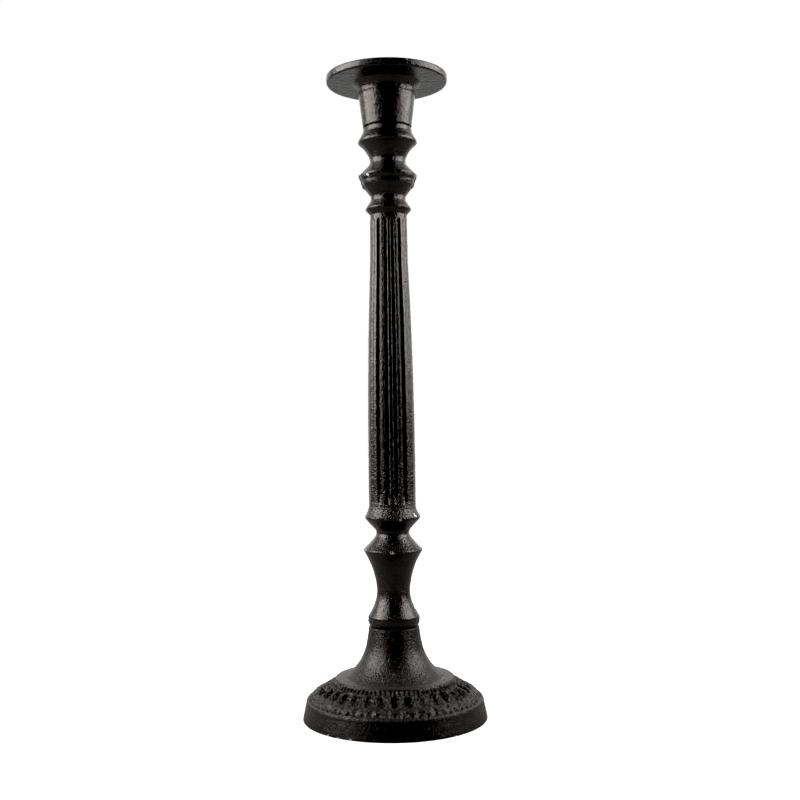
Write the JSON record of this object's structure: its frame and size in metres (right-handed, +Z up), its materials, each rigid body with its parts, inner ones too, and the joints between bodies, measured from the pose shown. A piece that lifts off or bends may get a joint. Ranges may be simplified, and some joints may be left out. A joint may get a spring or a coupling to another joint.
{
  "type": "candlestick",
  "caption": "Tall cast iron candlestick: a round carved base, a fluted tapering column between turned knops, and a drip pan with a socket for a taper candle.",
  "frame": {"origin": "centre of the circle that the base stands on", "axes": "+Z up along the column; -Y towards the picture's camera; +X to the camera's right"},
  "size_m": [0.1024, 0.1024, 0.3556],
  "materials": {
    "black_iron": "satin black paint over a sand-cast surface",
    "zinc_steel": "dull zinc plating"
  },
  "bodies": {
    "root": {"base": "black_iron", "stem": "black_iron", "candle_cup": "black_iron", "base_stud": "zinc_steel", "base_flat_washer": "zinc_steel", "base_lock_washer": "zinc_steel", "base_nut": "zinc_steel", "cup_screw": "zinc_steel", "cup_lock_washer": "zinc_steel"}
  },
  "joints": []
}
